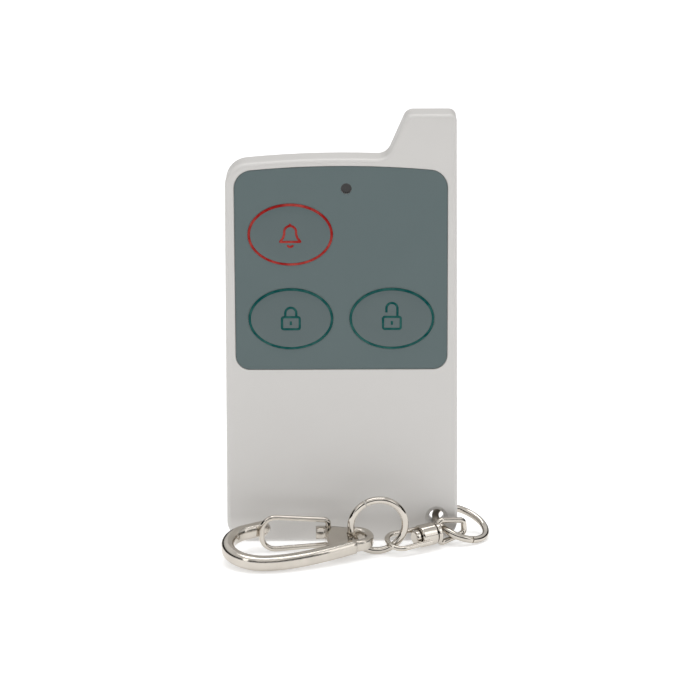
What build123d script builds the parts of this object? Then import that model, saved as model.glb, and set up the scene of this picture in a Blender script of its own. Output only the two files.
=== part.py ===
from build123d import *
import os
from math import acos, asin, atan2, cos, degrees, radians, sin, sqrt

os.makedirs("parts", exist_ok=True)

# Alarm key fob, in millimetres. It stands on its lower edge: X is across the
# face, -Y is out of the face, Z is up. The origin is the middle of the foot.
# Depths are measured forward from the parting plane, which is Y = 0.

# Case
case_height = 73.6
case_foot_width = 43.6
case_top_width = 42.8
case_thickness = 7.4
case_wall = 1.2
case_edge_radius = 0.75
top_arch_radius = 185.0
lower_corner_radius = 4.0
upper_corner_radius = 4.3
lip_height = 0.9
lip_thickness = 0.55
lip_clearance = 0.05
cut_overrun = 2.0

# Antenna nub on the upper right corner
nub_height = 8.2
nub_foot_x = 8.5
nub_top_x = 12.2
nub_inner_corner_radius = 1.9
nub_outer_corner_radius = 1.3
nub_foot_radius = 2.6

# Ring hole in the lower right corner, with a pocket behind it for the ring
hole_side_margin = 3.95
hole_foot_margin = 4.7
hole_radius = 1.4
hole_chamfer = 0.75
hole_boss_wall = 1.6
pocket_radius = 7.0
corner_thickness = 4.4

# Keypad film and its recess
film_width = 39.4
film_foot = 33.7
film_top = 72.2
film_thickness = 0.25
film_recess = 0.35
film_upper_radius = 3.4
film_lower_radius = 2.65
film_clearance = 0.1

# Embossed keys
key_length = 15.7
key_height = 11.6
key_column = 9.4
upper_key_z = 59.4
lower_key_z = 43.4
key_clearance = 0.12
key_crown = 0.5
key_travel = 0.35
key_flange = 0.6
key_flange_thickness = 0.4
key_stop_gap = 0.05
crown_shares = (1.0, 0.86, 0.66, 0.42, 0.16)

# Signal lamp
lamp_x = 1.0
lamp_z = 68.0
lamp_window_radius = 1.0
lamp_window_depth = 0.3
lamp_flange = 0.5
lamp_flange_thickness = 0.3
lamp_length = 1.6
lamp_width = 0.9
lamp_height = 0.6

# Circuit board
board_width = 29.6
board_foot = 7.5
board_top = 71.0
board_thickness = 0.8
board_front = 1.45
board_corner_radius = 1.5
lower_post_x = 12.6
lower_post_z = 11.0
upper_post_x = 9.5
upper_post_z = 68.6
post_radius = 1.5
post_pin_radius = 0.6
post_pin_clearance = 0.05

# Push switches
switch_side = 4.6
switch_height = 0.55
switch_corner_radius = 0.5
plunger_radius = 1.0
plunger_clearance = 0.1
plunger_proud = 0.45
plunger_length = 0.6

# Coin cell and its contacts
cell_x = -1.0
cell_z = 20.5
cell_radius = 10.0
cell_thickness = 2.5
cell_cap_radius = 8.7
cell_cap_height = 0.3
cell_edge_radius = 0.4
contact_radius = 4.0
contact_thickness = 0.2
clip_width = 7.0
clip_thickness = 0.2
clip_side_gap = 0.4
clip_foot_length = 1.6

# Parts soldered behind the board
chip_length = 7.6
chip_width = 5.0
chip_height = 1.5
chip_x = -4.0
chip_z = 43.0
lead_count = 5
lead_width = 0.45
lead_reach = 0.9
lead_thickness = 0.2
resonator_radius = 2.6
resonator_height = 1.8
resonator_rim = 0.35
resonator_x = 8.0
resonator_z = 52.0
chip_part_length = 1.6
chip_part_width = 0.8
chip_part_height = 0.6
chip_part_pitch = 3.2
chip_part_z = 60.0
chip_part_count = 4

# Antenna wire, soldered to the front of the board and bent up into the nub
antenna_radius = 0.35
antenna_left_x = 13.2
antenna_span = 4.4
antenna_top = 79.0
antenna_overlap = 4.0
antenna_free_end = 70.2
antenna_bend = 1.4

# Case screws
screw_x = 17.2
lower_screw_z = 6.4
upper_screw_z = 66.6
screw_radius = 0.9
screw_grip = 1.8
screw_head_radius = 1.7
screw_head_height = 1.0
screw_boss_wall = 1.1
screw_head_clearance = 0.2
screw_shank_clearance = 0.2
screw_recess_depth = 0.2
screw_thread_clearance = 0.02
screw_cross_length = 1.8
screw_cross_width = 0.4
screw_cross_depth = 0.5

# Jump rings
ring_radius = 5.1
ring_wire_radius = 0.675
ring_slit = 0.2
ring_slope = 20.8
ring_lean = 14.0
ring_forward = 0.3
ring_hang = 0.16

# Swivel: an eye with a headed stem that turns in the barrel of a stirrup
eye_station = 120.0
eye_contact = 4.3
eye_wire_radius = 0.55
eye_tip_half_height = 1.25
eye_base_half_height = 2.35
eye_length = 6.15
eye_bend = 0.9
eye_rise = 0.05
collar_radius = 2.05
collar_thickness = 0.85
collar_round = 0.2
stem_radius = 0.8
stem_clearance = 0.1
swivel_gap = 0.15
barrel_radius = 2.15
barrel_length = 3.25
barrel_round = 0.3
head_radius = 1.4
head_thickness = 0.9
head_round = 0.35
stirrup_wire_radius = 0.5
stirrup_half_width = 2.5
stirrup_root_half_width = 2.15
stirrup_reach = 6.4
stirrup_bend = 2.2
swivel_heading = 29.0
swivel_dip = 3.0
stirrup_turn = 20.0

# Middle ring, standing in the stirrup
middle_heading = 8.0
middle_lean = 6.0
foot_gap = 0.02
link_gap = 0.1
link_slant_share = 0.7

# Snap hook
arm_thickness = 2.8
hook_eye_thickness = 2.2
hook_eye_radius = 3.3
hook_hole_radius = 1.8
hook_hole_chamfer = 0.4
hook_eye_round = 0.55
arm_width = 2.4
bow_radius = 6.6
bow_x = 17.5
bow_y = 1.8
bow_start = -75.0
bow_end = 70.0
spine_root_x = 1.2
spine_root_y = -2.6
nose_x = 15.2
nose_y = 8.9
nose_ball_radius = 1.1
arm_round = 1.0
spine_slope = -0.28
plate_thickness = 2.6
plate_root_x = 1.0
plate_margin = 0.9
gate_pivot_x = 4.2
gate_pivot_y = 4.1
shoulder_x = 4.9
shoulder_y = 4.6
shoulder_round = 1.3
throat_x = 6.4
throat_y = -3.6
hook_station = 211.0
hook_play = 0.3
hook_heading = 17.0
hook_roll = 10.2
hook_dip = 2.0

# Wire gate
gate_wire_radius = 0.5
gate_root_half_height = 2.6
gate_tip_half_height = 3.5
gate_seat_gap = 0.05
gate_seat_back = 1.5
gate_root_bend = 0.9
gate_tip_bend = 2.6
gate_plug_depth = 0.7
gate_hole_clearance = 0.08
boss_radius = 1.25
boss_length = 2.3


def case_half_width(height):
    """Half the width of the case at a height: the sides draw in a little."""
    return (case_foot_width - (case_foot_width - case_top_width) * height / case_height) / 2


def arch_height(x, peak):
    """Height of an arched upper edge at a distance from the middle."""
    return peak - top_arch_radius + sqrt(top_arch_radius**2 - x**2)


def unit(x, y, z):
    return Vector(x, y, z).normalized()


def round_corner(sketch, corner, radius):
    """Round the corner of a sketch that lies nearest to a point."""
    fillet(sketch.vertices().sort_by_distance(Vector(*corner))[0], radius)


front_face = case_thickness / 2
front_inside = front_face - case_wall
film_floor = front_face - film_recess
nub_top = case_height + nub_height
hole_x = case_half_width(hole_foot_margin) - hole_side_margin
hole_z = hole_foot_margin
pocket_floor = front_face - corner_thickness
board_back = board_front - board_thickness
rear_inside = -front_inside
key_places = {
    "panic": (-key_column, upper_key_z),
    "arm": (-key_column, lower_key_z),
    "disarm": (key_column, lower_key_z),
}
screw_places = [
    (-screw_x, lower_screw_z),
    (-screw_x, upper_screw_z),
    (screw_x, upper_screw_z),
]
post_places = [
    (-lower_post_x, lower_post_z),
    (lower_post_x, lower_post_z),
    (-upper_post_x, upper_post_z),
    (upper_post_x, upper_post_z),
]


def face_plane(depth):
    """A plane parallel to the face, at a depth forward of the parting plane."""
    return Plane.XZ.offset(depth)


# Outline of the case, and of the room inside its walls
with BuildSketch() as case_profile:
    with BuildLine():
        left_foot = (-case_half_width(0), 0)
        right_foot = (case_half_width(0), 0)
        nub_outer = (case_half_width(nub_top), nub_top)
        nub_inner = (nub_top_x, nub_top)
        nub_foot = (nub_foot_x, arch_height(nub_foot_x, case_height))
        left_top_x = -case_half_width(case_height)
        left_top = (left_top_x, arch_height(left_top_x, case_height))
        Polyline(left_top, left_foot, right_foot, nub_outer, nub_inner, nub_foot)
        ThreePointArc(nub_foot, (0, case_height), left_top)
    make_face()
    round_corner(case_profile, left_foot, lower_corner_radius)
    round_corner(case_profile, right_foot, lower_corner_radius)
    round_corner(case_profile, left_top, upper_corner_radius)
    round_corner(case_profile, nub_foot, nub_foot_radius)
    round_corner(case_profile, nub_inner, nub_inner_corner_radius)
    round_corner(case_profile, nub_outer, nub_outer_corner_radius)

with BuildSketch() as cavity_profile:
    add(case_profile.sketch_local)
    offset(amount=-case_wall, mode=Mode.REPLACE)

with BuildSketch() as rebate_profile:
    add(case_profile.sketch_local)
    offset(amount=lip_thickness - case_wall, mode=Mode.REPLACE)

with BuildSketch() as lip_profile:
    add(rebate_profile.sketch_local)
    offset(amount=-lip_clearance, mode=Mode.REPLACE)

# Outline of the keypad film
with BuildSketch() as film_profile:
    with BuildLine():
        film_left_foot = (-film_width / 2, film_foot)
        film_right_foot = (film_width / 2, film_foot)
        film_right_top = (film_width / 2, arch_height(film_width / 2, film_top))
        film_left_top = (-film_width / 2, arch_height(film_width / 2, film_top))
        Polyline(film_left_top, film_left_foot, film_right_foot, film_right_top)
        ThreePointArc(film_right_top, (0, film_top), film_left_top)
    make_face()
    round_corner(film_profile, film_left_foot, film_lower_radius)
    round_corner(film_profile, film_right_foot, film_lower_radius)
    round_corner(film_profile, film_left_top, film_upper_radius)
    round_corner(film_profile, film_right_top, film_upper_radius)

# Front cover: a tray with the film's recess, the key openings, the screw
# bosses, the board posts and the tube of the ring hole
with BuildPart() as front_cover:
    with BuildSketch(face_plane(0)):
        add(case_profile.sketch_local)
    extrude(amount=front_face)
    face_edges = front_cover.faces().sort_by(Axis.Y)[0].outer_wire().edges()
    fillet(face_edges, case_edge_radius)
    with BuildSketch(face_plane(0)):
        add(cavity_profile.sketch_local)
    extrude(amount=front_inside, mode=Mode.SUBTRACT)
    with BuildSketch(face_plane(0)):
        add(rebate_profile.sketch_local)
    extrude(amount=lip_height, mode=Mode.SUBTRACT)
    with BuildSketch(face_plane(film_floor)):
        add(film_profile.sketch_local)
        offset(amount=film_clearance, mode=Mode.REPLACE)
    extrude(amount=film_recess + cut_overrun, mode=Mode.SUBTRACT)
    with BuildSketch(face_plane(0)):
        with Locations(*screw_places):
            Circle(screw_radius + screw_boss_wall)
        with Locations((hole_x, hole_z)):
            Circle(hole_radius + hole_boss_wall)
    extrude(amount=front_inside)
    with BuildSketch(face_plane(board_front)):
        with Locations(*post_places):
            Circle(post_radius)
    extrude(amount=front_inside - board_front)
    with BuildSketch(face_plane(board_back)):
        with Locations(*post_places):
            Circle(post_pin_radius)
    extrude(amount=board_thickness)
    with BuildSketch(face_plane(0)):
        with Locations(*screw_places):
            Circle(screw_radius + screw_thread_clearance)
    extrude(amount=screw_grip + screw_thread_clearance, mode=Mode.SUBTRACT)
    with BuildSketch(face_plane(front_inside - cut_overrun)):
        with Locations(*key_places.values()):
            Ellipse(key_length / 2 + key_clearance, key_height / 2 + key_clearance)
        with Locations((lamp_x, lamp_z)):
            Circle(lamp_window_radius)
    extrude(amount=case_thickness, mode=Mode.SUBTRACT)
    with BuildSketch(face_plane(front_inside)):
        with Locations(*key_places.values()):
            Ellipse(
                key_length / 2 + key_flange + key_clearance,
                key_height / 2 + key_flange + key_clearance,
            )
    extrude(amount=key_flange_thickness + key_stop_gap, mode=Mode.SUBTRACT)
    with Locations(face_plane(front_face)):
        with Locations((hole_x, hole_z)):
            CounterSinkHole(hole_radius, hole_radius + hole_chamfer, counter_sink_angle=90)
front_cover.part.label = "front_cover"

# Rear cover: the tray behind, with a lip that enters the front cover, and a
# pocket behind the ring hole, where the case is thin enough for the ring
with BuildPart() as rear_cover:
    with BuildSketch(face_plane(0)):
        add(case_profile.sketch_local)
    extrude(amount=-front_face)
    back_edges = rear_cover.faces().sort_by(Axis.Y)[-1].outer_wire().edges()
    fillet(back_edges, case_edge_radius)
    with BuildSketch(face_plane(rear_inside)):
        add(cavity_profile.sketch_local)
        with Locations((hole_x, hole_z)):
            Circle(pocket_radius + case_wall, mode=Mode.SUBTRACT)
    extrude(amount=front_inside, mode=Mode.SUBTRACT)
    with BuildSketch(face_plane(0)):
        add(lip_profile.sketch_local)
        offset(amount=lip_clearance - lip_thickness, mode=Mode.SUBTRACT)
        with Locations((hole_x, hole_z)):
            Circle(hole_radius + hole_boss_wall + lip_clearance, mode=Mode.SUBTRACT)
        with Locations(*screw_places):
            Circle(screw_radius + screw_boss_wall + lip_clearance, mode=Mode.SUBTRACT)
    extrude(amount=lip_height - lip_clearance)
    with BuildSketch(face_plane(rear_inside)):
        with Locations(*screw_places):
            Circle(screw_head_radius + screw_head_clearance + screw_boss_wall)
    extrude(amount=front_inside)
    with BuildSketch(face_plane(rear_inside)):
        with Locations(*post_places):
            Circle(post_radius)
    extrude(amount=front_inside + board_back)
    with BuildSketch(face_plane(0)):
        with Locations(*post_places):
            Circle(post_pin_radius + post_pin_clearance)
    extrude(amount=board_back + cut_overrun, mode=Mode.SUBTRACT)
    with BuildSketch(face_plane(pocket_floor)):
        with Locations((hole_x, hole_z)):
            Circle(pocket_radius)
    extrude(amount=-case_thickness, mode=Mode.SUBTRACT)
    with BuildSketch(face_plane(-front_face)):
        with Locations(*screw_places):
            Circle(screw_head_radius + screw_head_clearance)
    extrude(amount=screw_recess_depth + screw_head_height, mode=Mode.SUBTRACT)
    with BuildSketch(face_plane(-front_face)):
        with Locations(*screw_places):
            Circle(screw_radius + screw_shank_clearance)
    extrude(amount=case_thickness, mode=Mode.SUBTRACT)
    with Locations(Plane(origin=(hole_x, -pocket_floor, hole_z), z_dir=(0, 1, 0))):
        CounterSinkHole(hole_radius, hole_radius + hole_chamfer, counter_sink_angle=90)
rear_cover.part.label = "rear_cover"

# Keypad film: a printed sheet let into the face, open at the keys and the lamp
with BuildPart() as keypad_film:
    with BuildSketch(face_plane(film_floor)):
        add(film_profile.sketch_local)
        with Locations(*key_places.values()):
            Ellipse(
                key_length / 2 + key_clearance,
                key_height / 2 + key_clearance,
                mode=Mode.SUBTRACT,
            )
        with Locations((lamp_x, lamp_z)):
            Circle(lamp_window_radius, mode=Mode.SUBTRACT)
    extrude(amount=film_thickness)
keypad_film.part.label = "keypad_film"

# Keys: an oval with a crowned face, held behind the wall by a flange
film_face = film_floor + film_thickness
plunger_tip = board_front + switch_height + plunger_proud


def make_key(place):
    with BuildPart() as key:
        with BuildSketch(face_plane(front_inside)):
            with Locations(place):
                Ellipse(key_length / 2 + key_flange, key_height / 2 + key_flange)
        extrude(amount=key_flange_thickness)
        with BuildSketch(face_plane(front_inside)):
            with Locations(place):
                Ellipse(key_length / 2, key_height / 2)
        extrude(amount=film_face - front_inside)
        for share in crown_shares:
            with BuildSketch(face_plane(film_face + key_crown * (1 - share**2))):
                with Locations(place):
                    Ellipse(share * key_length / 2, share * key_height / 2)
        loft()
    return key


def make_plunger(place):
    with BuildPart() as plunger:
        with BuildSketch(face_plane(plunger_tip - plunger_length)):
            with Locations(place):
                Circle(plunger_radius)
        extrude(amount=plunger_length)
    return plunger


panic_button = make_key(key_places["panic"])
panic_button.part.label = "panic_button"
arm_button = make_key(key_places["arm"])
arm_button.part.label = "arm_button"
disarm_button = make_key(key_places["disarm"])
disarm_button.part.label = "disarm_button"
panic_plunger = make_plunger(key_places["panic"])
panic_plunger.part.label = "panic_plunger"
arm_plunger = make_plunger(key_places["arm"])
arm_plunger.part.label = "arm_plunger"
disarm_plunger = make_plunger(key_places["disarm"])
disarm_plunger.part.label = "disarm_plunger"

# Switch housings: three square sockets soldered to the front of the board
with BuildPart() as switch_housings:
    with BuildSketch(face_plane(board_front)):
        with Locations(*key_places.values()):
            RectangleRounded(switch_side, switch_side, switch_corner_radius)
            Circle(plunger_radius + plunger_clearance, mode=Mode.SUBTRACT)
    extrude(amount=switch_height)
switch_housings.part.label = "switch_housings"

# Circuit board, on the pins of the front cover's posts
with BuildPart() as circuit_board:
    with BuildSketch(face_plane(board_back)):
        with Locations((0, (board_foot + board_top) / 2)):
            RectangleRounded(board_width, board_top - board_foot, board_corner_radius)
        with Locations(*post_places):
            Circle(post_pin_radius + post_pin_clearance, mode=Mode.SUBTRACT)
    extrude(amount=board_thickness)
circuit_board.part.label = "circuit_board"

# Lamp window: a flanged plug pressed into the front wall from inside
with BuildPart() as lamp_window:
    with BuildSketch(face_plane(front_inside)):
        with Locations((lamp_x, lamp_z)):
            Circle(lamp_window_radius)
    extrude(amount=case_wall - lamp_window_depth - film_recess)
    with BuildSketch(face_plane(front_inside - lamp_flange_thickness)):
        with Locations((lamp_x, lamp_z)):
            Circle(lamp_window_radius + lamp_flange)
    extrude(amount=lamp_flange_thickness)
lamp_window.part.label = "lamp_window"

with BuildPart() as signal_lamp:
    with BuildSketch(face_plane(board_front)):
        with Locations((lamp_x, lamp_z)):
            Rectangle(lamp_length, lamp_width)
    extrude(amount=lamp_height)
signal_lamp.part.label = "signal_lamp"

# Coin cell: a can with its negative cap towards the board
cell_front = board_back - contact_thickness
cell_back = cell_front - cell_thickness
with BuildPart() as coin_cell:
    with BuildSketch(face_plane(cell_back)):
        with Locations((cell_x, cell_z)):
            Circle(cell_radius)
    extrude(amount=cell_thickness - cell_cap_height)
    fillet(coin_cell.edges().filter_by(GeomType.CIRCLE), cell_edge_radius)
    with BuildSketch(face_plane(cell_front)):
        with Locations((cell_x, cell_z)):
            Circle(cell_cap_radius)
    extrude(amount=-cell_cap_height)
coin_cell.part.label = "coin_cell"

with BuildPart() as cell_contact:
    with BuildSketch(face_plane(board_back)):
        with Locations((cell_x, cell_z)):
            Circle(contact_radius)
    extrude(amount=-contact_thickness)
cell_contact.part.label = "cell_contact"

# Cell clip: a strap over the back of the cell, with a foot soldered each side
with BuildPart() as cell_clip:
    with BuildSketch(Plane.XY.offset(cell_z - clip_width / 2)):
        with BuildLine():
            leg = cell_radius + clip_side_gap
            clip_line = Polyline(
                (cell_x - leg - clip_foot_length, -board_back),
                (cell_x - leg, -board_back),
                (cell_x - leg, -cell_back),
                (cell_x + leg, -cell_back),
                (cell_x + leg, -board_back),
                (cell_x + leg + clip_foot_length, -board_back),
            )
            offset(clip_line, amount=clip_thickness, side=Side.LEFT)
        make_face()
    extrude(amount=clip_width)
cell_clip.part.label = "cell_clip"

# Encoder chip: a tapered body on gull-wing leads
with BuildPart() as encoder_chip:
    with BuildSketch(face_plane(board_back)):
        with Locations((chip_x, chip_z)):
            Rectangle(chip_length, chip_width)
            with GridLocations(chip_length / lead_count, 0, lead_count, 1):
                Rectangle(lead_width, chip_width + 2 * lead_reach)
    extrude(amount=-lead_thickness)
    with BuildSketch(face_plane(board_back - lead_thickness)):
        with Locations((chip_x, chip_z)):
            Rectangle(chip_length, chip_width)
    extrude(amount=lead_thickness - chip_height, taper=6)
encoder_chip.part.label = "encoder_chip"

# Radio resonator: a round can on a rim
with BuildPart() as resonator:
    with BuildSketch(face_plane(board_back)):
        with Locations((resonator_x, resonator_z)):
            Circle(resonator_radius + resonator_rim)
    extrude(amount=-resonator_rim)
    with BuildSketch(face_plane(board_back)):
        with Locations((resonator_x, resonator_z)):
            Circle(resonator_radius)
    extrude(amount=-resonator_height)
resonator.part.label = "resonator"

with BuildPart() as chip_parts:
    with BuildSketch(face_plane(board_back)):
        with Locations((0, chip_part_z)):
            with GridLocations(chip_part_pitch, 0, chip_part_count, 1):
                Rectangle(chip_part_width, chip_part_length)
    extrude(amount=-chip_part_height)
chip_parts.part.label = "chip_parts"

# Antenna wire
antenna_depth = board_front + antenna_radius
with BuildPart() as antenna_wire:
    with BuildLine(face_plane(antenna_depth)) as antenna_line:
        antenna_foot = board_top - antenna_overlap
        FilletPolyline(
            (antenna_left_x, antenna_foot),
            (antenna_left_x, antenna_top),
            (antenna_left_x + antenna_span, antenna_top),
            (antenna_left_x + antenna_span, antenna_free_end),
            radius=antenna_bend,
        )
    with BuildSketch(Plane(origin=antenna_line.line @ 0, z_dir=antenna_line.line % 0)):
        Circle(antenna_radius)
    sweep()
antenna_wire.part.label = "antenna_wire"

# Case screws: three cross-recessed pan heads, from behind
head_seat = -front_face + screw_recess_depth + screw_head_height
with BuildPart() as case_screws:
    with BuildSketch(face_plane(head_seat)):
        with Locations(*screw_places):
            Circle(screw_head_radius)
    extrude(amount=-screw_head_height)
    with BuildSketch(face_plane(head_seat)):
        with Locations(*screw_places):
            Circle(screw_radius)
    extrude(amount=screw_grip - head_seat)
    with BuildSketch(face_plane(head_seat - screw_head_height)):
        with Locations(*screw_places):
            Rectangle(screw_cross_length, screw_cross_width)
            Rectangle(screw_cross_width, screw_cross_length)
    extrude(amount=screw_cross_depth, mode=Mode.SUBTRACT)
case_screws.part.label = "case_screws"


def ring_point(plane, radius, station):
    """The point of a ring's wire at a station, in degrees from its X axis."""
    angle = radians(station)
    return plane.from_local_coords((radius * cos(angle), radius * sin(angle), 0))


# Corner ring: it hangs from the hole, slopes down to the right and leans
# forward, so that its lowest point is on the floor
slope = radians(ring_slope)
lean = radians(ring_lean)
outward = Vector(cos(slope), 0, -sin(slope))
forward = Vector(-sin(slope) * sin(lean), -cos(lean), -cos(slope) * sin(lean))
ring_depth = front_face - corner_thickness / 2 + ring_forward
hang_point = Vector(hole_x, -ring_depth, hole_z)
corner_ring_plane = Plane(
    origin=hang_point + outward * (ring_radius - ring_hang),
    x_dir=outward,
    z_dir=outward.cross(forward),
)


def make_ring(plane, slit_station):
    """A jump ring: round wire bent into a circle, with its butt joint open."""
    with BuildPart(plane) as ring:
        with BuildSketch(Plane(plane.origin, x_dir=plane.x_dir, z_dir=-plane.y_dir)):
            with Locations((ring_radius, 0)):
                Circle(ring_wire_radius)
        revolve(axis=Axis(plane.origin, plane.z_dir))
        with PolarLocations(ring_radius, 1, start_angle=slit_station):
            slit_side = ring_wire_radius + cut_overrun
            Box(slit_side, ring_slit, slit_side, mode=Mode.SUBTRACT)
    return ring


corner_ring = make_ring(corner_ring_plane, 60)
corner_ring.part.label = "corner_ring"

# Swivel eye: a closed wire bow on a collar, with a stem and its riveted head.
# X of its frame is the swivel's axis, from the tip of the bow to the stirrup.
collar_back = eye_length + collar_thickness
barrel_start = collar_back + swivel_gap
barrel_end = barrel_start + barrel_length
head_start = barrel_end + swivel_gap
with BuildPart() as swivel_eye:
    with BuildSketch(Plane.YZ.offset(eye_length)):
        Circle(collar_radius)
    extrude(amount=collar_thickness)
    fillet(swivel_eye.edges().filter_by(GeomType.CIRCLE), collar_round)
    with BuildSketch(Plane.YZ.offset(collar_back)):
        Circle(stem_radius)
    extrude(amount=head_start - collar_back)
    with BuildSketch(Plane.YZ.offset(head_start)):
        Circle(head_radius)
    extrude(amount=head_thickness)
    fillet(swivel_eye.edges().sort_by(Axis.X)[-1], head_round)
    with BuildLine() as bow_line:
        FilletPolyline(
            (eye_length, eye_base_half_height),
            (eye_wire_radius, eye_tip_half_height),
            (eye_wire_radius, -eye_tip_half_height),
            (eye_length, -eye_base_half_height),
            radius=eye_bend,
            close=True,
        )
    with BuildSketch(Plane(origin=bow_line.line @ 0, z_dir=bow_line.line % 0)):
        Circle(eye_wire_radius)
    sweep()
swivel_eye.part.label = "swivel_eye"

heading = radians(swivel_heading)
dip = radians(swivel_dip)
swivel_axis = Vector(-cos(heading) * cos(dip), -sin(heading) * cos(dip), -sin(dip))
swivel_side = swivel_axis.cross(Vector(0, 0, 1)).normalized()
eye_on_ring = ring_point(corner_ring_plane, ring_radius, eye_station)
eye_tip = eye_on_ring + Vector(0, 0, eye_rise) - swivel_axis * eye_contact
swivel_eye.part.locate(Plane(origin=eye_tip, x_dir=swivel_axis, z_dir=swivel_side).location)

# Stirrup: a barrel on the stem, with a wire bow from its sides round its end
stirrup_root = barrel_start + barrel_length / 2
stirrup_end = barrel_end + stirrup_reach
with BuildPart() as swivel_stirrup:
    with BuildSketch(Plane.YZ.offset(barrel_start)):
        Circle(barrel_radius)
    extrude(amount=barrel_length)
    fillet(swivel_stirrup.edges().filter_by(GeomType.CIRCLE), barrel_round)
    with BuildLine() as stirrup_line:
        FilletPolyline(
            (stirrup_root, stirrup_root_half_width),
            (stirrup_end, stirrup_half_width),
            (stirrup_end, -stirrup_half_width),
            (stirrup_root, -stirrup_root_half_width),
            radius=stirrup_bend,
        )
    with BuildSketch(Plane(origin=stirrup_line.line @ 0, z_dir=stirrup_line.line % 0)):
        Circle(stirrup_wire_radius)
    sweep()
    with BuildSketch(Plane.YZ.offset(barrel_start)):
        Circle(stem_radius + stem_clearance)
    extrude(amount=barrel_length, mode=Mode.SUBTRACT)
swivel_stirrup.part.label = "swivel_stirrup"

turn = radians(stirrup_turn)
stirrup_side = swivel_side * cos(turn) + swivel_side.cross(swivel_axis) * sin(turn)
stirrup_normal = swivel_axis.cross(stirrup_side)
stirrup_plane = Plane(origin=eye_tip, x_dir=swivel_axis, z_dir=stirrup_normal)
swivel_stirrup.part.locate(stirrup_plane.location)

# Middle ring: it stands in the stirrup's end, with its lowest point on the floor
middle_turn = radians(middle_heading)
middle_tip = radians(middle_lean)
middle_side = Vector(cos(middle_turn), sin(middle_turn), 0)
middle_back = Vector(-sin(middle_turn), cos(middle_turn), 0)
middle_up = Vector(0, 0, 1) * cos(middle_tip) - middle_back * sin(middle_tip)
link_reach = (stirrup_wire_radius + ring_wire_radius + link_gap) / link_slant_share
link_point = eye_tip + swivel_axis * (stirrup_end - link_reach)
middle_rise = ring_radius * cos(middle_tip) + ring_wire_radius + foot_gap - link_point.Z
middle_station = -asin(middle_rise / (ring_radius * cos(middle_tip)))
link_arm = middle_side * cos(middle_station) + middle_up * sin(middle_station)
middle_ring_plane = Plane(
    origin=link_point - link_arm * ring_radius,
    x_dir=middle_side,
    z_dir=middle_side.cross(middle_up),
)
middle_ring = make_ring(middle_ring_plane, 118)
middle_ring.part.label = "middle_ring"

# Snap hook. X of its frame runs from the eye to the bow, and Y from the spine
# to the nose.
bow_first = radians(bow_start)
bow_last = radians(bow_end)
bow_entry = (bow_x + bow_radius * cos(bow_first), bow_y + bow_radius * sin(bow_first))
bow_exit = (bow_x + bow_radius * cos(bow_last), bow_y + bow_radius * sin(bow_last))
nose = Vector(nose_x, nose_y, 0)
nose_back = (Vector(*bow_exit, 0) - nose).normalized()
gate_depth = arm_width / 2 + gate_wire_radius + gate_seat_gap
gate_pivot = Vector(gate_pivot_x, gate_pivot_y, 0)
gate_seat = nose + nose_back * gate_seat_back + nose_back.cross(Vector(0, 0, 1)) * gate_depth
gate_length = (gate_seat - gate_pivot).length
gate_x = (gate_seat - gate_pivot).normalized()
gate_side = gate_x.cross(Vector(0, 0, 1))
with BuildPart() as hook_body:
    with BuildSketch(Plane.XY.offset(-hook_eye_thickness / 2)):
        Circle(hook_eye_radius)
    extrude(amount=hook_eye_thickness)
    fillet(hook_body.edges().filter_by(GeomType.CIRCLE), hook_eye_round)
    with BuildSketch(Plane.XY.offset(-plate_thickness / 2)) as plate:
        with BuildLine():
            Polyline(
                (plate_root_x, hook_hole_radius + plate_margin),
                (shoulder_x, shoulder_y),
                (throat_x, throat_y),
                (plate_root_x, -hook_hole_radius - plate_margin),
                close=True,
            )
        make_face()
        round_corner(plate, (shoulder_x, shoulder_y), shoulder_round)
    extrude(amount=plate_thickness)
    with BuildLine() as arm_line:
        Spline(
            (spine_root_x, spine_root_y),
            bow_entry,
            tangents=((1, spine_slope), (-sin(bow_first), cos(bow_first))),
        )
        CenterArc((bow_x, bow_y), bow_radius, bow_start, bow_end - bow_start)
        Line(bow_exit, (nose_x, nose_y))
    arm_foot = Plane(origin=arm_line.line @ 0, x_dir=(0, 0, 1), z_dir=arm_line.line % 0)
    with BuildSketch(arm_foot):
        RectangleRounded(arm_thickness, arm_width, arm_round)
    sweep(transition=Transition.ROUND)
    with Locations(nose):
        Sphere(nose_ball_radius)
    with BuildSketch(Plane(origin=gate_pivot, x_dir=(0, 0, 1), z_dir=gate_x)):
        Circle(boss_radius)
    extrude(amount=boss_length)
    with BuildSketch(Plane.XY.offset(-arm_thickness)):
        with Locations(gate_pivot):
            Circle(gate_wire_radius + gate_hole_clearance)
    extrude(amount=arm_thickness + arm_thickness, mode=Mode.SUBTRACT)
    with BuildSketch(Plane.XY.offset(-arm_thickness)):
        Circle(hook_hole_radius)
    extrude(amount=arm_thickness + arm_thickness, mode=Mode.SUBTRACT)
    hole_rims = hook_body.edges().filter_by(GeomType.CIRCLE).sort_by_distance(Vector(0, 0, 0))
    chamfer(hole_rims[0:2], hook_hole_chamfer)
hook_body.part.label = "hook_body"

hook_turn = radians(hook_heading)
hook_fall = radians(hook_dip)
hook_tilt = radians(hook_roll)
hook_x = Vector(-cos(hook_turn) * cos(hook_fall), -sin(hook_turn) * cos(hook_fall), -sin(hook_fall))
hook_level = hook_x.cross(Vector(0, 0, 1)).normalized()
hook_y = hook_level * cos(hook_tilt) + hook_level.cross(hook_x) * sin(hook_tilt)
hook_origin = ring_point(middle_ring_plane, ring_radius, hook_station) - hook_x * hook_play
hook_plane = Plane(origin=hook_origin, x_dir=hook_x, z_dir=hook_x.cross(hook_y))
hook_body.part.locate(hook_plane.location)

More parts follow.
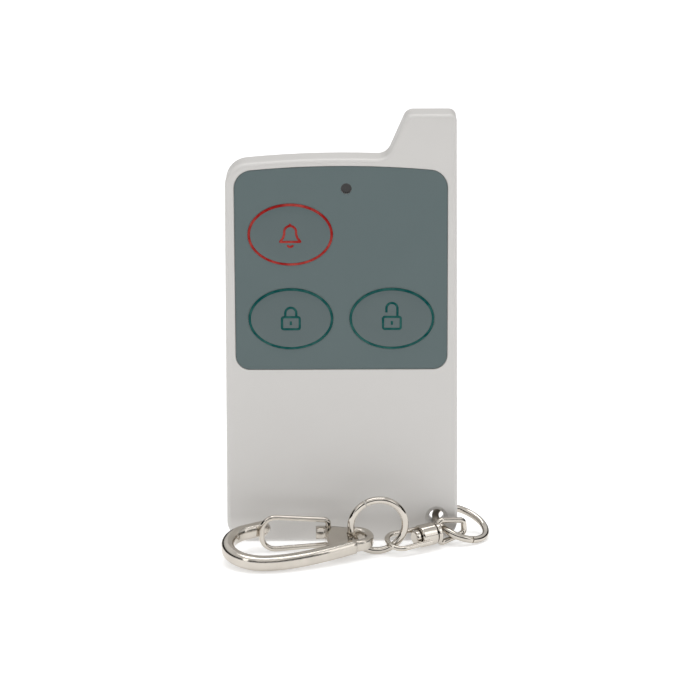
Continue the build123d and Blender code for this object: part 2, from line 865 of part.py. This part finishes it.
# Wire gate: a loop that closes against the inside of the nose, with its ends
# turned into the hook's pivot hole from both faces
gate_plug = plate_thickness / 2 - gate_plug_depth
with BuildPart() as wire_gate:
    gate_plane = Plane(origin=gate_pivot, x_dir=gate_x, z_dir=gate_side)
    with BuildLine(gate_plane) as gate_line:
        FilletPolyline(
            (0, gate_plug),
            (0, gate_root_half_height),
            (gate_length, gate_tip_half_height),
            (gate_length, -gate_tip_half_height),
            (0, -gate_root_half_height),
            (0, -gate_plug),
            radius=(gate_root_bend, gate_tip_bend, gate_tip_bend, gate_root_bend),
        )
    with BuildSketch(Plane(origin=gate_line.line @ 0, z_dir=gate_line.line % 0)):
        Circle(gate_wire_radius)
    sweep()
wire_gate.part.label = "wire_gate"
wire_gate.part.locate(hook_plane.location)

# Every piece goes to its own file
pieces = [
    front_cover,
    rear_cover,
    keypad_film,
    panic_button,
    arm_button,
    disarm_button,
    panic_plunger,
    arm_plunger,
    disarm_plunger,
    switch_housings,
    circuit_board,
    lamp_window,
    signal_lamp,
    coin_cell,
    cell_contact,
    cell_clip,
    encoder_chip,
    resonator,
    chip_parts,
    antenna_wire,
    case_screws,
    corner_ring,
    swivel_eye,
    swivel_stirrup,
    middle_ring,
    hook_body,
    wire_gate,
]
for piece in pieces:
    export_step(piece.part, f"parts/{piece.part.label}.step")

# Joint axes, as a point and a direction
ring_tangent = corner_ring_plane.z_dir.cross(eye_on_ring - corner_ring_plane.origin).normalized()
joint_axes = {
    "ring_hang": (hang_point, Vector(0, 1, 0)),
    "eye_swing": (eye_on_ring, ring_tangent),
    "swivel_spin": (eye_tip + swivel_axis * stirrup_root, swivel_axis),
    "middle_swing": (eye_tip + swivel_axis * stirrup_end, stirrup_side),
    "hook_swing": (hook_origin, -hook_plane.z_dir),
    "gate_swing": (hook_plane.from_local_coords(gate_pivot), -hook_plane.z_dir),
}
for joint_name, (point, direction) in joint_axes.items():
    print(joint_name, [round(v, 4) for v in point], [round(v, 5) for v in direction])
print("key front", -film_face, "hole", hole_x, hole_z)
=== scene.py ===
from math import cos, pi, radians, sin, tau

import bpy
from mathutils import Matrix, Vector


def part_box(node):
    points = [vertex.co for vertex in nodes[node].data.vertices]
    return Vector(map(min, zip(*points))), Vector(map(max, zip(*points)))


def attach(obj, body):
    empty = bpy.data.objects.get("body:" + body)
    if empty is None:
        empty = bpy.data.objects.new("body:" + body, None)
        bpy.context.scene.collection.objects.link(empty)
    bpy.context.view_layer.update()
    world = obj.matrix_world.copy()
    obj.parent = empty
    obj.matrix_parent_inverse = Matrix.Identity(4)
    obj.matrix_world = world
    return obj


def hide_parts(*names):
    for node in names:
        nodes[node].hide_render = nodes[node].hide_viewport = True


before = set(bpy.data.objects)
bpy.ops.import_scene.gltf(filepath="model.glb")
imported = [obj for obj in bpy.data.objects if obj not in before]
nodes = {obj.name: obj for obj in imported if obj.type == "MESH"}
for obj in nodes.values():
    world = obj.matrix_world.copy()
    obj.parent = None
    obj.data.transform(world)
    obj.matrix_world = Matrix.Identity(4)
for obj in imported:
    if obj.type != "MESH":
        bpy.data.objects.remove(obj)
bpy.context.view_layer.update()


# Case: two trays of off-white ABS, injection moulded in a finely etched tool
# and screwed together from behind. The parting line runs round the sides.
def add_node(tree, kind, inputs=None, **settings):
    """Puts a node in a tree, sets its properties and sets or links its inputs."""
    made = tree.nodes.new(kind)
    for name, value in settings.items():
        setattr(made, name, value)
    for name, value in (inputs or {}).items():
        if isinstance(value, bpy.types.NodeSocket):
            tree.links.new(value, made.inputs[name])
        else:
            made.inputs[name].default_value = value
    return made


def add_surface_group(name, inputs, outputs):
    """Starts a shader node group with named values in and named values out."""
    tree = bpy.data.node_groups.new(name, "ShaderNodeTree")
    for socket, value in inputs.items():
        made = tree.interface.new_socket(socket, in_out="INPUT", socket_type="NodeSocketFloat")
        made.default_value = value
    for socket in outputs:
        tree.interface.new_socket(socket, in_out="OUTPUT", socket_type="NodeSocketFloat")
    return tree, tree.nodes.new("NodeGroupInput"), tree.nodes.new("NodeGroupOutput")


def add_noise(tree, size, detail):
    """A noise field on the object's own coordinates, with features of a given size."""
    place = add_node(tree, "ShaderNodeTexCoord").outputs["Object"]
    scale = add_node(tree, "ShaderNodeMath", {0: 1.0, 1: size}, operation="DIVIDE")
    noise = add_node(
        tree,
        "ShaderNodeTexNoise",
        {"Vector": place, "Scale": scale.outputs[0], "Detail": detail},
    )
    return noise.outputs["Fac"]


def make_moulded_skin():
    """Etched grain, with the slow unevenness of a moulded wall."""
    tree, given, result = add_surface_group(
        "moulded_skin",
        {"Grain Size": 0.0002, "Sink Size": 0.008},
        ["Grain", "Sink"],
    )
    grain = add_noise(tree, given.outputs["Grain Size"], detail=3.0)
    tree.links.new(grain, result.inputs["Grain"])
    sink = add_noise(tree, given.outputs["Sink Size"], detail=1.0)
    tree.links.new(sink, result.inputs["Sink"])
    return tree


flat_match = 0.99
edge_match = 0.8
patch_from = 0.35
patch_to = 0.65


def make_edge_wear_and_light():
    """A mask of the edges, broken up by a fine noise, for an edge colour: wear on most pieces, a
    painted highlight on the keys.
    """
    tree, given, result = add_surface_group(
        "edge_wear_and_light",
        {"Edge Radius": 0.0004, "Patch Size": 0.0015},
        ["Rubbed"],
    )
    rounded = add_node(tree, "ShaderNodeBevel", {"Radius": given.outputs["Edge Radius"]}, samples=4)
    facing = add_node(tree, "ShaderNodeNewGeometry")
    match = add_node(
        tree,
        "ShaderNodeVectorMath",
        {0: rounded.outputs[0], 1: facing.outputs["Normal"]},
        operation="DOT_PRODUCT",
    )
    edge = add_node(
        tree,
        "ShaderNodeMapRange",
        {"Value": match.outputs["Value"], "From Min": flat_match, "From Max": edge_match},
    )
    patches = add_noise(tree, given.outputs["Patch Size"], detail=4.0)
    patchy = add_node(
        tree,
        "ShaderNodeMapRange",
        {"Value": patches, "From Min": patch_from, "From Max": patch_to},
    )
    wear_and_light = add_node(
        tree,
        "ShaderNodeMath",
        {0: edge.outputs[0], 1: patchy.outputs[0]},
        operation="MULTIPLY",
    )
    tree.links.new(wear_and_light.outputs[0], result.inputs["Rubbed"])
    return tree


moulded_skin = make_moulded_skin()
edge_wear_and_light = make_edge_wear_and_light()


def add_group(tree, group, values):
    """Places a shared group in a material, with that material's own values."""
    made = add_node(tree, "ShaderNodeGroup", node_tree=group)
    for name, value in values.items():
        made.inputs[name].default_value = value
    return made


def add_tint(tree, mask, first, second):
    """Mixes two colours, or a socket and a colour, by a mask."""
    mixed = add_node(tree, "ShaderNodeMix", {0: mask}, data_type="RGBA")
    for socket, colour in ((6, first), (7, second)):
        if isinstance(colour, bpy.types.NodeSocket):
            tree.links.new(colour, mixed.inputs[socket])
        else:
            mixed.inputs[socket].default_value = (*colour, 1)
    return mixed.outputs[2]


smoother_by = 0.06
rougher_by = 0.08
grain_strength = 0.5


def make_plastic(name, colour, shade, edge_wear_and_light_colour, roughness, grain_size, grain_depth, gloss=0.5):
    """A moulded plastic: it drifts to a shade, is grained, and takes its edge colour on the edge
    mask.
    """
    material = bpy.data.materials.new(name)
    material.use_nodes = True
    tree = material.node_tree
    shader = tree.nodes["Principled BSDF"]
    skin = add_group(tree, moulded_skin, {"Grain Size": grain_size})
    edges = add_group(tree, edge_wear_and_light, {})
    tint = add_tint(tree, skin.outputs["Sink"], colour, shade)
    tint = add_tint(tree, edges.outputs["Rubbed"], tint, edge_wear_and_light_colour)
    tree.links.new(tint, shader.inputs["Base Color"])
    rough = add_node(
        tree,
        "ShaderNodeMapRange",
        {
            "Value": skin.outputs["Grain"],
            "To Min": roughness - smoother_by,
            "To Max": roughness + rougher_by,
        },
    )
    tree.links.new(rough.outputs[0], shader.inputs["Roughness"])
    bump = add_node(
        tree,
        "ShaderNodeBump",
        {"Height": skin.outputs["Grain"], "Strength": grain_strength, "Distance": grain_depth},
    )
    tree.links.new(bump.outputs[0], shader.inputs["Normal"])
    shader.inputs["Specular IOR Level"].default_value = gloss
    return material


def dress(material, *names):
    """Gives CAD nodes a material in every slot."""
    for name in names:
        for place in nodes[name].material_slots:
            place.material = material


case_plastic = make_plastic(
    "case_plastic",
    colour=(0.680, 0.664, 0.643),
    shade=(0.656, 0.640, 0.619),
    edge_wear_and_light_colour=(0.60, 0.58, 0.545),
    roughness=0.42,
    grain_size=0.00025,
    grain_depth=0.00001,
)
dress(case_plastic, "front_cover", "rear_cover")

# Keypad film: a polyester sheet printed slate grey on its back, die cut and
# stuck into the recess of the face. Its front has a fine satin texture.
# Its edge colour makes it a little darker along all its cut edges.
film_print = make_plastic(
    "film_print",
    colour=(0.118, 0.157, 0.160),
    shade=(0.127, 0.167, 0.169),
    edge_wear_and_light_colour=(0.105, 0.130, 0.130),
    roughness=0.38,
    grain_size=0.00012,
    grain_depth=0.000006,
    gloss=0.2,
)
dress(film_print, "keypad_film")

# Keys: three ovals embossed in the same printed film, each over a switch. The
# pressing leaves a pillow, steep at its rim and almost flat in the middle.
key_low, key_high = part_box("panic_button")
film_front = -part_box("keypad_film")[0][1]
cap_rise = -key_low[1] - film_front
cap_steps = 128
cap_shares = (0.15, 0.3, 0.45, 0.58, 0.68, 0.76, 0.82, 0.87, 0.91, 0.945, 0.975, 1.0)
dome_share = 0.3
dome_power = 2
rim_power = 8
sharp_turn = 35
flange_inset = 0.00051
flange_thickness = 0.0004
# The keys' edge colour is lighter than their face: a painted highlight round the rim of each pillow.
key_print = make_plastic(
    "key_print",
    colour=(0.117, 0.151, 0.154),
    shade=(0.125, 0.160, 0.162),
    edge_wear_and_light_colour=(0.170, 0.200, 0.202),
    roughness=0.34,
    grain_size=0.00012,
    grain_depth=0.000006,
    gloss=0.15,
)


def make_key_cap(name, node):
    """A pillowed oval on its hidden flange, as large as the node that it replaces."""
    low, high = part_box(node)
    middle_x = (low[0] + high[0]) / 2
    middle_z = (low[2] + high[2]) / 2
    half_length = (high[0] - low[0]) / 2
    half_height = (high[2] - low[2]) / 2
    flange_back = -high[1]
    flange_front = flange_back + flange_thickness
    rings = []
    for share in cap_shares:
        fall_share = dome_share * share**dome_power + (1 - dome_share) * share**rim_power
        rings.append((flange_inset, film_front + cap_rise * (1 - fall_share), share))
    rings += [
        (flange_inset, flange_front, 1.0),
        (0.0, flange_front, 1.0),
        (0.0, flange_back, 1.0),
    ]
    points = [(middle_x, -film_front - cap_rise, middle_z)]
    for inset, depth, share in rings:
        for i in range(cap_steps):
            angle = tau * i / cap_steps
            x = middle_x + share * (half_length - inset) * cos(angle)
            z = middle_z + share * (half_height - inset) * sin(angle)
            points.append((x, -depth, z))
    faces = [(0, 1 + i, 1 + (i + 1) % cap_steps) for i in range(cap_steps)]
    for ring in range(len(rings) - 1):
        first = 1 + ring * cap_steps
        for i in range(cap_steps):
            j = (i + 1) % cap_steps
            faces.append((first + i, first + cap_steps + i, first + cap_steps + j, first + j))
    last = 1 + (len(rings) - 1) * cap_steps
    faces.append(tuple(last + i for i in reversed(range(cap_steps))))
    mesh = bpy.data.meshes.new(name)
    mesh.from_pydata(points, [], faces)
    mesh.shade_smooth()
    mesh.set_sharp_from_angle(angle=radians(sharp_turn))
    mesh.materials.append(key_print)
    cap = bpy.data.objects.new(name, mesh)
    bpy.context.scene.collection.objects.link(cap)
    return cap


key_caps = {}
for key_name in ("panic", "arm", "disarm"):
    key_cap = make_key_cap(key_name + "_key_cap", key_name + "_button")
    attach(key_cap, key_name + "_key")
    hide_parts(key_name + "_button")
    key_caps[key_name] = key_cap

# Key outlines: an oval of ink round the rim of each key, red for the panic key and
# green for the other two, screen printed where the pillow of the film rises.
ray_start_share = 2.0


def make_printed_line():
    """Lays a flat path on a key's pillowed face, as a line of ink with a thickness."""
    tree = bpy.data.node_groups.new("printed_line", "GeometryNodeTree")
    sockets = tree.interface
    sockets.new_socket("Path", in_out="INPUT", socket_type="NodeSocketGeometry")
    for name in ("Line Width", "Line Height", "Step Length", "Face Depth", "Key X", "Key Z"):
        sockets.new_socket(name, in_out="INPUT", socket_type="NodeSocketFloat")
    sockets.new_socket("Key", in_out="INPUT", socket_type="NodeSocketObject")
    sockets.new_socket("Ink", in_out="INPUT", socket_type="NodeSocketMaterial")
    sockets.new_socket("Geometry", in_out="OUTPUT", socket_type="NodeSocketGeometry")
    given = tree.nodes.new("NodeGroupInput").outputs
    result = tree.nodes.new("NodeGroupOutput")

    def calculate(operation, first, second):
        return add_node(tree, "ShaderNodeMath", {0: first, 1: second}, operation=operation).outputs[0]

    path = add_node(tree, "GeometryNodeMeshToCurve", {"Mesh": given["Path"]})
    even = add_node(
        tree,
        "GeometryNodeResampleCurve",
        {"Curve": path.outputs[0], "Length": given["Step Length"]},
        mode="LENGTH",
    )
    level = add_node(
        tree,
        "GeometryNodeSetCurveNormal",
        {"Curve": even.outputs[0]},
        mode="Z_UP",
    )
    section = add_node(
        tree,
        "GeometryNodeCurvePrimitiveQuadrilateral",
        {"Width": given["Line Width"], "Height": given["Line Height"]},
        mode="RECTANGLE",
    )
    band = add_node(
        tree,
        "GeometryNodeCurveToMesh",
        {"Curve": level.outputs[0], "Profile Curve": section.outputs[0], "Fill Caps": True},
    )
    here = add_node(tree, "GeometryNodeInputPosition").outputs[0]
    across, up, out = add_node(tree, "ShaderNodeSeparateXYZ", {0: here}).outputs
    across = calculate("ADD", across, given["Key X"])
    up = calculate("ADD", up, given["Key Z"])
    start = add_node(
        tree,
        "ShaderNodeCombineXYZ",
        {"X": across, "Y": calculate("MULTIPLY", given["Face Depth"], -ray_start_share), "Z": up},
    )
    key = add_node(tree, "GeometryNodeObjectInfo", {"Object": given["Key"]})
    landing = add_node(
        tree,
        "GeometryNodeRaycast",
        {
            "Target Geometry": key.outputs["Geometry"],
            "Source Position": start.outputs[0],
            "Ray Direction": (0.0, 1.0, 0.0),
        },
    )
    landed = add_node(tree, "ShaderNodeSeparateXYZ", {0: landing.outputs["Hit Position"]}).outputs[1]
    face = calculate("MAXIMUM", calculate("MULTIPLY", landed, -1.0), given["Face Depth"])
    laid = add_node(
        tree,
        "ShaderNodeCombineXYZ",
        {"X": across, "Y": calculate("MULTIPLY", calculate("ADD", face, out), -1.0), "Z": up},
    )
    moved = add_node(
        tree,
        "GeometryNodeSetPosition",
        {"Geometry": band.outputs[0], "Position": laid.outputs[0]},
    )
    whole = add_node(tree, "GeometryNodeRealizeInstances", {0: moved.outputs[0]})
    inked = add_node(
        tree,
        "GeometryNodeSetMaterial",
        {"Geometry": whole.outputs[0], "Material": given["Ink"]},
    )
    tree.links.new(inked.outputs[0], result.inputs[0])
    return tree


printed_line = make_printed_line()
key_half_length = (key_high[0] - key_low[0]) / 2 - flange_inset
key_half_height = (key_high[2] - key_low[2]) / 2 - flange_inset
ink_height = 0.00005
ink_step = 0.0001


def print_line(name, paths, ink, key_cap, line_width):
    """Prints open or closed paths of points, given from the key's middle, on a key."""
    points = []
    runs = []
    for path, closed in paths:
        first = len(points)
        points += [(x, z, 0) for x, z in path]
        last = len(points) - 1
        runs += [(i, i + 1) for i in range(first, last)]
        if closed:
            runs.append((last, first))
    drawn = bpy.data.meshes.new(name)
    drawn.from_pydata(points, runs, [])
    made = bpy.data.objects.new(name, drawn)
    bpy.context.scene.collection.objects.link(made)
    corners = [Vector(corner) for corner in key_cap.bound_box]
    values = {
        "Line Width": line_width,
        "Line Height": ink_height,
        "Step Length": ink_step,
        "Face Depth": film_front,
        "Key X": sum(corner.x for corner in corners) / len(corners),
        "Key Z": sum(corner.z for corner in corners) / len(corners),
        "Key": key_cap,
        "Ink": ink,
    }
    printing = made.modifiers.new("printing", "NODES")
    printing.node_group = printed_line
    for socket in printed_line.interface.items_tree:
        if socket.name in values:
            printing[socket.identifier] = values[socket.name]
    bpy.context.view_layer.update()
    solid = bpy.data.meshes.new_from_object(made.evaluated_get(bpy.context.evaluated_depsgraph_get()))
    made.modifiers.clear()
    made.data = solid
    solid.materials.clear()
    solid.materials.append(ink)
    return made


def oval(half_length, half_height, steps=128):
    """Points round an oval."""
    return [
        (half_length * cos(tau * i / steps), half_height * sin(tau * i / steps)) for i in range(steps)
    ]


red_ink = make_plastic(
    "red_ink",
    colour=(0.330, 0.012, 0.011),
    shade=(0.280, 0.010, 0.010),
    edge_wear_and_light_colour=(0.42, 0.06, 0.05),
    roughness=0.4,
    grain_size=0.00012,
    grain_depth=0.000004,
    gloss=0.03,
)
green_ink = make_plastic(
    "green_ink",
    colour=(0.000, 0.074, 0.071),
    shade=(0.000, 0.061, 0.059),
    edge_wear_and_light_colour=(0.03, 0.12, 0.105),
    roughness=0.4,
    grain_size=0.00012,
    grain_depth=0.000004,
    gloss=0.03,
)
outline_width = 0.00046
outline_margin = 0.00004
outline_inset = outline_margin + outline_width / 2
outline_path = oval(key_half_length - outline_inset, key_half_height - outline_inset)
for key_name, ink in (("panic", red_ink), ("arm", green_ink), ("disarm", green_ink)):
    outline = print_line(
        key_name + "_outline",
        [(outline_path, True)],
        ink,
        key_caps[key_name],
        outline_width,
    )
    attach(outline, key_name + "_key")


# Key signs: a bell for the panic key, a shut padlock to arm and an open one to
# disarm, printed on the film in the ink of each key's outline.
def arc(x, z, radius, start, end, steps=24):
    """Points along an arc, between two angles in degrees."""
    angles = [radians(start + (end - start) * i / steps) for i in range(steps + 1)]
    return [(x + radius * cos(angle), z + radius * sin(angle)) for angle in angles]


sign_line = 0.00042
padlock_half_width = 0.00165
padlock_half_height = 0.00115
padlock_corner = 0.00035
padlock_middle = -0.00075
corner_steps = 8
keyhole_half_length = 0.00035
shackle_half_width = 0.00102
shackle_leg = 0.00078
shackle_lift = 0.00085


def padlock(lift):
    """A padlock's body, shackle and keyhole, with the shackle lifted on one leg."""
    x = padlock_half_width - padlock_corner
    z = padlock_half_height - padlock_corner
    body = []
    for side_x, side_z, start in ((1, 1, 0), (-1, 1, 90), (-1, -1, 180), (1, -1, 270)):
        corner_x = side_x * x
        corner_z = padlock_middle + side_z * z
        body += arc(corner_x, corner_z, padlock_corner, start, start + 90, corner_steps)
    top = padlock_middle + padlock_half_height
    crown = top + shackle_leg + lift
    near_foot = (shackle_half_width, top)
    far_foot = (-shackle_half_width, top + lift)
    shackle = [near_foot] + arc(0, crown, shackle_half_width, 0, 180) + [far_foot]
    keyhole = [(0, padlock_middle + keyhole_half_length), (0, padlock_middle - keyhole_half_length)]
    return [(body, True), (shackle, False), (keyhole, False)]


bell_waist = 0.00110
bell_shoulder = 0.00062
bell_rim = 0.00190
bell_foot = -0.00128
clapper_radius = 0.00055
clapper_from = 200
clapper_to = 340
clapper_steps = 12
flare_share = 1.22
flare_foot_share = 0.45
waist_shoulder_share = 0.3
bell_side = [
    (bell_rim, bell_foot),
    (bell_waist * flare_share, bell_foot * flare_foot_share),
    (bell_waist, bell_shoulder * waist_shoulder_share),
]
bell_body = (
    bell_side
    + arc(0, bell_shoulder, bell_waist, 0, 180)
    + [(-x, z) for x, z in reversed(bell_side)]
)
clapper_middle = bell_foot - sign_line
bell_clapper = arc(0, clapper_middle, clapper_radius, clapper_from, clapper_to, clapper_steps)
bell_knob = [(0, bell_shoulder + bell_waist), (0, bell_shoulder + bell_waist + sign_line)]
signs = (
    ("panic", "bell", [(bell_body, True), (bell_clapper, False), (bell_knob, False)], red_ink),
    ("arm", "padlock", padlock(0.0), green_ink),
    ("disarm", "padlock", padlock(shackle_lift), green_ink),
)
for key_name, sign_name, paths, ink in signs:
    sign = print_line(key_name + "_" + sign_name, paths, ink, key_caps[key_name], sign_line)
    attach(sign, key_name + "_key")

# Plungers and encoder chip: black nylon plungers, moulded, one behind each key, and
# the chip's black moulded body, which is soldered to the back of the board.
black_nylon = make_plastic(
    "black_nylon",
    colour=(0.02, 0.02, 0.022),
    shade=(0.03, 0.03, 0.03),
    edge_wear_and_light_colour=(0.05, 0.05, 0.05),
    roughness=0.5,
    grain_size=0.0002,
    grain_depth=0.000005,
)
dress(black_nylon, "panic_plunger", "arm_plunger", "disarm_plunger", "encoder_chip")

# Switch housings, coin cell, clip, resonator can and case screws: pressed, drawn or
# turned steel with a dull finish. All but the cell and the screws are soldered on.
def make_metal_finish():
    """Fine marks, wide ripples left by bending or casting, and dull patches."""
    tree, given, result = add_surface_group(
        "metal_finish",
        {"Mark Size": 0.0003, "Ripple Size": 0.004},
        ["Marks", "Ripple", "Dull"],
    )
    for size, output, detail in (
        ("Mark Size", "Marks", 4.0),
        ("Ripple Size", "Ripple", 1.0),
        ("Ripple Size", "Dull", 5.0),
    ):
        tree.links.new(add_noise(tree, given.outputs[size], detail), result.inputs[output])
    return tree


metal_finish = make_metal_finish()
mark_from = 0.3
mark_to = 0.8
polished_share = 0.7
dulled_share = 1.5
ripple_depth = 0.0002
metal_edge_radius = 0.0002


def make_metal(name, colour, dull_colour, edge_wear_and_light_colour, roughness, ripple=0.3, easing=0.00005):
    """A metal, duller in patches, rippled, and with its edges eased and worn to another colour."""
    material = bpy.data.materials.new(name)
    material.use_nodes = True
    tree = material.node_tree
    shader = tree.nodes["Principled BSDF"]
    shader.inputs["Metallic"].default_value = 1.0
    finish = add_group(tree, metal_finish, {})
    edges = add_group(tree, edge_wear_and_light, {"Edge Radius": metal_edge_radius})
    tint = add_tint(tree, finish.outputs["Dull"], colour, dull_colour)
    tint = add_tint(tree, edges.outputs["Rubbed"], tint, edge_wear_and_light_colour)
    tree.links.new(tint, shader.inputs["Base Color"])
    rough = add_node(
        tree,
        "ShaderNodeMapRange",
        {
            "Value": finish.outputs["Marks"],
            "From Min": mark_from,
            "From Max": mark_to,
            "To Min": roughness * polished_share,
            "To Max": roughness * dulled_share,
        },
    )
    tree.links.new(rough.outputs[0], shader.inputs["Roughness"])
    eased = add_node(tree, "ShaderNodeBevel", {"Radius": easing}, samples=8)
    bump = add_node(
        tree,
        "ShaderNodeBump",
        {
            "Height": finish.outputs["Ripple"],
            "Strength": ripple,
            "Distance": ripple_depth,
            "Normal": eased.outputs[0],
        },
    )
    tree.links.new(bump.outputs[0], shader.inputs["Normal"])
    return material


plain_steel = make_metal(
    "plain_steel",
    colour=(0.60, 0.60, 0.59),
    dull_colour=(0.48, 0.48, 0.47),
    edge_wear_and_light_colour=(0.66, 0.66, 0.65),
    roughness=0.32,
)
dress(plain_steel, "switch_housings", "cell_clip", "coin_cell", "resonator", "case_screws")

# Circuit board: glass-epoxy laminate under a green solder mask, held between posts
# of the two covers, with small ceramic chip parts soldered to it.
solder_mask = make_plastic(
    "solder_mask",
    colour=(0.01, 0.09, 0.035),
    shade=(0.015, 0.12, 0.05),
    edge_wear_and_light_colour=(0.03, 0.14, 0.06),
    roughness=0.3,
    grain_size=0.0008,
    grain_depth=0.00002,
)
dress(solder_mask, "circuit_board")
ceramic = make_plastic(
    "chip_ceramic",
    colour=(0.25, 0.17, 0.10),
    shade=(0.30, 0.21, 0.13),
    edge_wear_and_light_colour=(0.36, 0.28, 0.20),
    roughness=0.6,
    grain_size=0.0002,
    grain_depth=0.00001,
)
dress(ceramic, "chip_parts")

# Cell contact and antenna: a disc of brass strip under the coin cell, and a bare
# copper wire, soldered to the board and bent up into the nub.
strip_brass = make_metal(
    "strip_brass",
    colour=(0.75, 0.52, 0.22),
    dull_colour=(0.62, 0.42, 0.18),
    edge_wear_and_light_colour=(0.80, 0.60, 0.30),
    roughness=0.3,
)
dress(strip_brass, "cell_contact")
bare_copper = make_metal(
    "bare_copper",
    colour=(0.72, 0.36, 0.22),
    dull_colour=(0.55, 0.27, 0.17),
    edge_wear_and_light_colour=(0.78, 0.44, 0.30),
    roughness=0.35,
)
dress(bare_copper, "antenna_wire")

# Signal lamp and its window: a clear epoxy lamp soldered to the board, behind a
# smoked acrylic plug that its flange holds in the front cover.
smoked_acrylic = make_plastic(
    "smoked_acrylic",
    colour=(0.020, 0.019, 0.018),
    shade=(0.025, 0.023, 0.022),
    edge_wear_and_light_colour=(0.07, 0.068, 0.066),
    roughness=0.22,
    grain_size=0.0005,
    grain_depth=0.000003,
)
dress(smoked_acrylic, "lamp_window")
lamp_epoxy = make_plastic(
    "lamp_epoxy",
    colour=(0.70, 0.62, 0.50),
    shade=(0.74, 0.68, 0.58),
    edge_wear_and_light_colour=(0.80, 0.75, 0.66),
    roughness=0.2,
    grain_size=0.0005,
    grain_depth=0.000002,
)
dress(lamp_epoxy, "signal_lamp")

# Rings, swivel and gate: steel wire and turned steel, all bright nickel plated, so
# they mirror the pale floor and the dark of the room.
nickel_colours = {
    "colour": (0.66, 0.615, 0.555),
    "dull_colour": (0.48, 0.445, 0.395),
    "edge_wear_and_light_colour": (0.56, 0.49, 0.40),
}
bright_nickel = make_metal("bright_nickel", roughness=0.09, **nickel_colours)
dress(bright_nickel, "corner_ring", "swivel_eye", "swivel_stirrup", "middle_ring", "wire_gate")

# Snap hook: a zinc die casting under the same plate, tumbled before it is plated,
# so that all its edges are well rounded.
cast_nickel = make_metal("cast_nickel", roughness=0.09, easing=0.0009, **nickel_colours)
dress(cast_nickel, "hook_body")

# Floor: a pale sheet that runs out of the picture and glows a little, so that it
# stays white up to the edge of the frame.
floor_half = 4.0
floor_grey = 0.85
floor_roughness = 0.9
floor_glow = 0.42
floor_mesh = bpy.data.meshes.new("floor")
floor_mesh.from_pydata(
    [
        (-floor_half, -floor_half, 0),
        (floor_half, -floor_half, 0),
        (floor_half, floor_half, 0),
        (-floor_half, floor_half, 0),
    ],
    [],
    [(0, 1, 2, 3)],
)
floor = bpy.data.objects.new("floor", floor_mesh)
bpy.context.scene.collection.objects.link(floor)
floor_paper = bpy.data.materials.new("floor_paper")
floor_paper.use_nodes = True
paper_shader = floor_paper.node_tree.nodes["Principled BSDF"]
paper_shader.inputs["Base Color"].default_value = (floor_grey, floor_grey, floor_grey, 1)
paper_shader.inputs["Roughness"].default_value = floor_roughness
paper_shader.inputs["Emission Color"].default_value = (1.0, 1.0, 1.0, 1)
paper_shader.inputs["Emission Strength"].default_value = floor_glow
floor_mesh.materials.append(floor_paper)

# Light: a wide soft panel overhead, weaker ones in front and at both sides, and a
# room that is dark to about 25 degrees above the horizon and pale higher up.
# Each panel has its place, its width and height, and its power in watts.
light_aim = Vector((0, 0, 0.04))
panels = (
    ("top_panel", (0, 0.1, 1.2), 1.0, 0.7, 6),
    ("front_panel", (0.1, -1.3, 0.95), 1.1, 0.5, 0.8),
    ("left_panel", (-0.9, -0.9, 0.5), 0.3, 0.9, 1.6),
    ("right_panel", (1.0, -0.6, 0.5), 0.25, 0.9, 1.0),
)
for name, place, width, height, power in panels:
    panel = bpy.data.lights.new(name, "AREA")
    panel.shape = "RECTANGLE"
    panel.size = width
    panel.size_y = height
    panel.energy = power
    hung = bpy.data.objects.new(name, panel)
    hung.location = place
    hung.rotation_euler = (light_aim - Vector(place)).to_track_quat("-Z", "Y").to_euler()
    bpy.context.scene.collection.objects.link(hung)

room = bpy.data.worlds.new("room")
room.use_nodes = True
bpy.context.scene.world = room
sky = room.node_tree
direction = add_node(sky, "ShaderNodeTexCoord").outputs["Generated"]
upward = add_node(sky, "ShaderNodeSeparateXYZ", {0: direction}).outputs["Z"]
ramp = add_node(sky, "ShaderNodeValToRGB", {0: upward})
room_strength = 0.44
room_stops = ((0.0, 0.01), (0.38, 0.02), (0.46, 1.4), (0.70, 2.0), (1.0, 1.4))
while len(ramp.color_ramp.elements) < len(room_stops):
    ramp.color_ramp.elements.new(1.0)
for stop, (share, grey) in zip(ramp.color_ramp.elements, room_stops):
    stop.position = share
    stop.color = (grey, grey, grey, 1)
sky.links.new(ramp.outputs[0], sky.nodes["Background"].inputs["Color"])
sky.nodes["Background"].inputs["Strength"].default_value = room_strength
bpy.context.scene.view_settings.view_transform = "Standard"

# Camera: in front of the face, looking down at it, with a long lens and no blur.
# The focal length is in pixels of the frame, and the angles are in degrees.
view_pitch = 14.0
view_roll = -0.21
view_distance = 0.6
view_target = Vector((0.001586, -0.0037, 0.037383))
focal_pixels = 3215.4
frame_pixels = 700
camera = bpy.data.cameras.new("camera")
camera.sensor_width = 36.0
camera.lens = camera.sensor_width * (focal_pixels / frame_pixels)
camera.clip_start = 0.01
camera.clip_end = 20.0
camera_object = bpy.data.objects.new("camera", camera)
pitch = radians(view_pitch)
camera_object.location = view_target + Vector((0, -cos(pitch), sin(pitch))) * view_distance
turn = Matrix.Rotation(pi / 2 - pitch, 3, "X") @ Matrix.Rotation(radians(view_roll), 3, "Z")
camera_object.rotation_euler = turn.to_euler()
bpy.context.scene.collection.objects.link(camera_object)
bpy.context.scene.camera = camera_object
